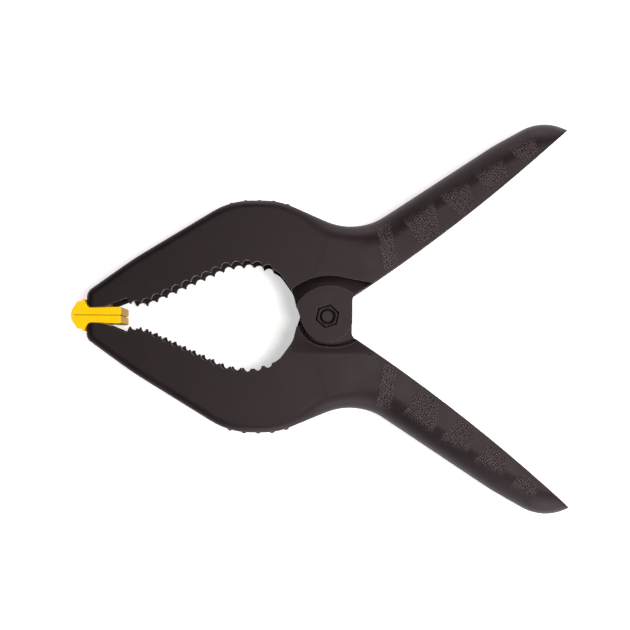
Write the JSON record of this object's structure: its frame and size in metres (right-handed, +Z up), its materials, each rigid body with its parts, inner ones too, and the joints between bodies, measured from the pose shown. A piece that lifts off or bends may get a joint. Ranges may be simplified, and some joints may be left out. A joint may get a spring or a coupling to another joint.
{
  "type": "spring clamp",
  "caption": "Hand spring clamp with black moulded levers on a pivot bolt, a toothed throat, a torsion spring inside and yellow swivelling jaw pads.",
  "frame": {"origin": "centre of the underside of the overall box, with the clamp closed and lying flat on its side; the pivot axis stands 2.8 mm towards the handles from it", "axes": "+X from the jaws to the handles, +Y across the clamp from the lower lever to the upper one, +Z up along the pivot bolt towards the nut"},
  "size_m": [0.2322, 0.1836, 0.03],
  "materials": {
    "lever_nylon": "fine matt moulded nylon, pebble grain on the handle sides",
    "pad_plastic": "smooth tough plastic",
    "spring_steel": "oiled spring wire",
    "blackened_steel": "black oxide",
    "sleeve_steel": "plain zinc plated"
  },
  "bodies": {
    "lower_lever": {"lower_lever": "lever_nylon", "pivot_bolt": "blackened_steel", "spacer_sleeve": "sleeve_steel", "torsion_spring": "spring_steel"},
    "upper_lever": {"upper_lever": "lever_nylon", "pivot_nut": "blackened_steel"},
    "upper_pad": {"upper_pad": "pad_plastic"},
    "lower_pad": {"lower_pad": "pad_plastic"}
  },
  "joints": [
    {"name": "jaw_pivot", "type": "hinge", "parent": "lower_lever", "child": "upper_lever", "pos_m": [0.00276, 0, 0.015], "axis": [0, 0, -1], "range_deg": [0, 38], "stiffness_Nm_per_rad": 2.1, "springref_deg": -60.16, "deforming": ["torsion_spring"]},
    {"name": "upper_pad_swivel", "type": "hinge", "parent": "upper_lever", "child": "upper_pad", "pos_m": [-0.10284, 0.009, 0.015], "axis": [0, 0, 1], "range_deg": [0, 19]},
    {"name": "lower_pad_swivel", "type": "hinge", "parent": "lower_lever", "child": "lower_pad", "pos_m": [-0.10284, -0.009, 0.015], "axis": [0, 0, -1], "range_deg": [0, 19]}
  ],
  "couplings": [
    {"joint": "upper_pad_swivel", "follows": "jaw_pivot", "ratio": 0.5},
    {"joint": "lower_pad_swivel", "follows": "jaw_pivot", "ratio": 0.5}
  ]
}
